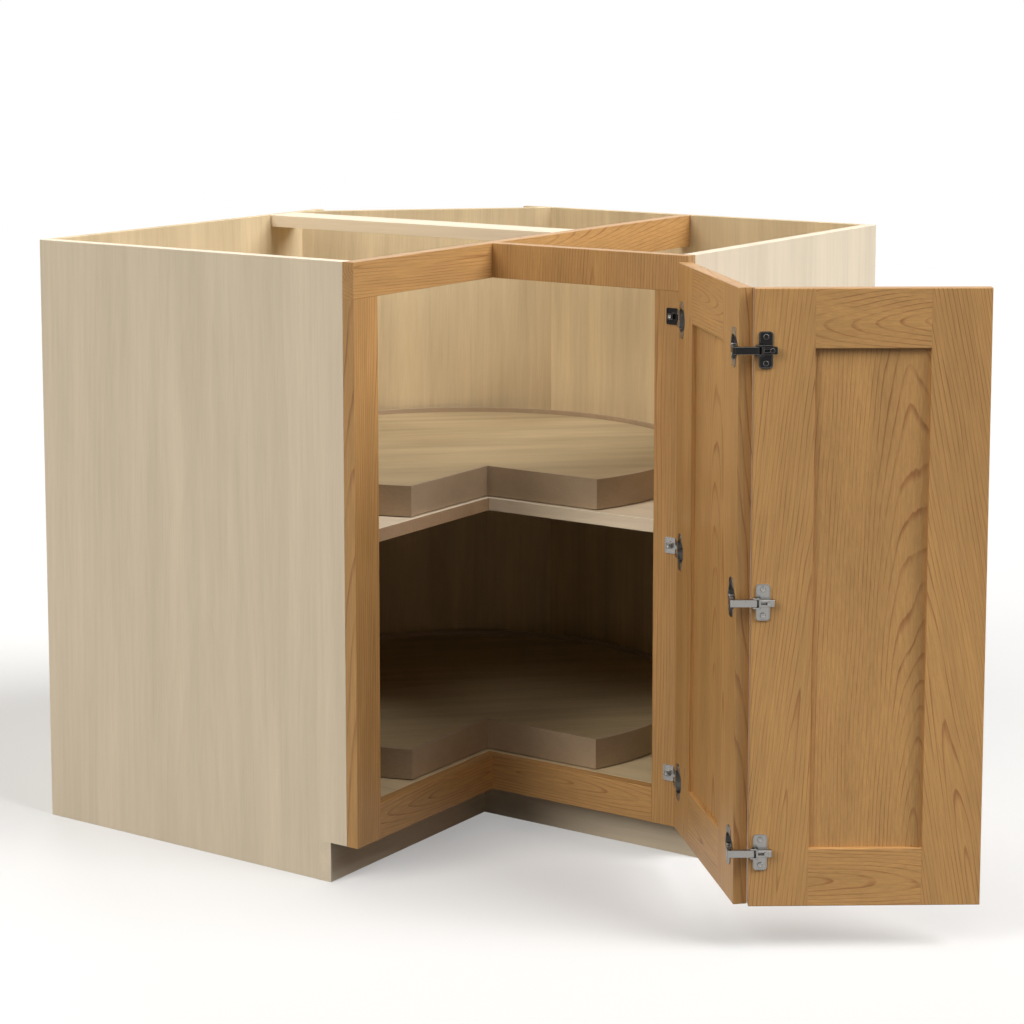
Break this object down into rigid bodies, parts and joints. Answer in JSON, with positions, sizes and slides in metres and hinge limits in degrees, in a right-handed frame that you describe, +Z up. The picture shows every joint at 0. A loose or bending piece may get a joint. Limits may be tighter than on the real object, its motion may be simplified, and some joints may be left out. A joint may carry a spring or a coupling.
{
  "type": "corner base cabinet with turning trays",
  "caption": "L-shaped corner base cabinet with an oak face frame, turning trays that have a square notch, and a folding pair of frame-and-panel doors on concealed hinges.",
  "frame": {"origin": "corner of the room at floor level, where the two walls behind the cabinet meet", "axes": "+X along the back wall to the right, +Y from the room towards the back wall, +Z up; the left leg runs along -Y"},
  "size_m": [1.3949, 0.9144, 0.8763],
  "materials": {
    "maple_veneer": "pale maple veneer, satin",
    "maple_interior": "tan veneered board, satin",
    "oak_frame": "golden brown stained oak, satin",
    "oak_door": "golden brown stained oak, satin",
    "tray_wood": "light veneered board, satin",
    "tray_edge_band": "bent veneer band, satin",
    "bearing_steel": "zinc plated steel",
    "black_steel": "black coated steel",
    "nickel_steel": "nickel plated steel"
  },
  "bodies": {
    "cabinet": {"left_end_panel": "maple_veneer", "right_end_panel": "maple_veneer", "left_back_panel": "maple_interior", "right_back_panel": "maple_interior", "diagonal_back_panel": "maple_interior", "floor_panel": "maple_veneer", "middle_shelf": "maple_veneer", "top_stretcher": "maple_veneer", "top_brace": "oak_frame", "left_toe_board": "maple_veneer", "right_toe_board": "maple_veneer", "left_stile": "oak_frame", "right_stile": "oak_frame", "left_top_rail": "oak_frame", "right_top_rail": "oak_frame", "left_bottom_rail": "oak_frame", "right_bottom_rail": "oak_frame", "lower_fixed_race": "bearing_steel", "upper_fixed_race": "bearing_steel", "frame_plate_bottom": "nickel_steel", "frame_plate_middle": "nickel_steel", "frame_plate_top": "black_steel", "frame_plate_screws": "nickel_steel"},
    "lower_ball_ring": {"lower_ball_cage": "bearing_steel", "lower_balls": "bearing_steel"},
    "upper_ball_ring": {"upper_ball_cage": "bearing_steel", "upper_balls": "bearing_steel"},
    "lower_tray": {"lower_turning_race": "bearing_steel", "lower_tray_board": "tray_wood", "lower_tray_panel": "tray_wood", "lower_tray_band": "tray_edge_band"},
    "upper_tray": {"upper_turning_race": "bearing_steel", "upper_tray_board": "tray_wood", "upper_tray_panel": "tray_wood", "upper_tray_band": "tray_edge_band"},
    "door_1": {"door_1_hinge_stile": "oak_door", "door_1_fold_stile": "oak_door", "door_1_top_rail": "oak_door", "door_1_bottom_rail": "oak_door", "door_1_panel": "oak_door", "swing_cups": "nickel_steel", "swing_pins": "nickel_steel", "fold_cups": "nickel_steel", "cup_pins": "nickel_steel", "cup_screws": "nickel_steel"},
    "door_2": {"fold_links": "nickel_steel", "door_2_fold_stile": "oak_door", "door_2_free_stile": "oak_door", "door_2_top_rail": "oak_door", "door_2_bottom_rail": "oak_door", "door_2_panel": "oak_door", "fold_arm_bottom": "nickel_steel", "fold_arm_middle": "nickel_steel", "fold_arm_top": "black_steel", "mounting_plate_bottom": "nickel_steel", "mounting_plate_middle": "nickel_steel", "mounting_plate_top": "black_steel", "mounting_screws": "nickel_steel", "clamp_screws": "nickel_steel", "arm_pins": "nickel_steel"}
  },
  "joints": [
    {"name": "door_1_swing", "type": "hinge", "parent": "cabinet", "child": "door_1", "pos_m": [0.91125, -0.5934, 0.4654], "axis": [0, 0, 1], "range_deg": [-134.5, 30.5]},
    {"name": "door_2_fold", "type": "hinge", "parent": "door_1", "child": "door_2", "pos_m": [1.11916, -0.82238, 0.4654], "axis": [0, 0, 1], "range_deg": [-50.9, 9.2]},
    {"name": "lower_tray_spin", "type": "hinge", "parent": "cabinet", "child": "lower_tray", "pos_m": [0.421, -0.421, 0.13], "axis": [0, 0, 1], "range_deg": [-360, 360]},
    {"name": "upper_tray_spin", "type": "hinge", "parent": "cabinet", "child": "upper_tray", "pos_m": [0.421, -0.421, 0.51], "axis": [0, 0, 1], "range_deg": [-360, 360]},
    {"name": "lower_ball_ring_roll", "type": "hinge", "parent": "cabinet", "child": "lower_ball_ring", "pos_m": [0.421, -0.421, 0.114], "axis": [0, 0, 1], "range_deg": [-181, 181]},
    {"name": "upper_ball_ring_roll", "type": "hinge", "parent": "cabinet", "child": "upper_ball_ring", "pos_m": [0.421, -0.421, 0.496], "axis": [0, 0, 1], "range_deg": [-181, 181]}
  ],
  "couplings": [
    {"joint": "door_2_fold", "follows": "door_1_swing", "ratio": -0.067658},
    {"joint": "lower_ball_ring_roll", "follows": "lower_tray_spin", "ratio": 0.5},
    {"joint": "upper_ball_ring_roll", "follows": "upper_tray_spin", "ratio": 0.5}
  ]
}
